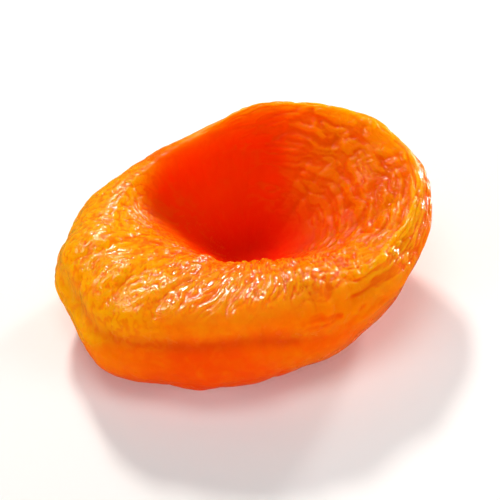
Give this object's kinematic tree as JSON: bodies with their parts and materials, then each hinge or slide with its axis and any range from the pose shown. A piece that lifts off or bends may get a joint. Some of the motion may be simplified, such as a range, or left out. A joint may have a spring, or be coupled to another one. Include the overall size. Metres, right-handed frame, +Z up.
{
  "type": "dried apricot",
  "caption": "Whole pitted dried apricot lying flat, an oval with a pointed tip, a deep stone hollow on top, a fat rolled near rim and a thin raised rim at the broad end.",
  "frame": {"origin": "on the surface that the fruit rests on, under the middle of its outline", "axes": "+X along the fruit towards its broad thin-rimmed end, so the pointed tip is at -X; +Z up, out of the stone hollow; +Y towards the high far rim"},
  "size_m": [0.041, 0.0312, 0.0139],
  "materials": {
    "fruit_skin": "moist translucent orange skin of dried apricot, finely wrinkled and semi-gloss, redder in the hollow"
  },
  "bodies": {
    "root": {"dried_apricot": "fruit_skin"}
  },
  "joints": []
}
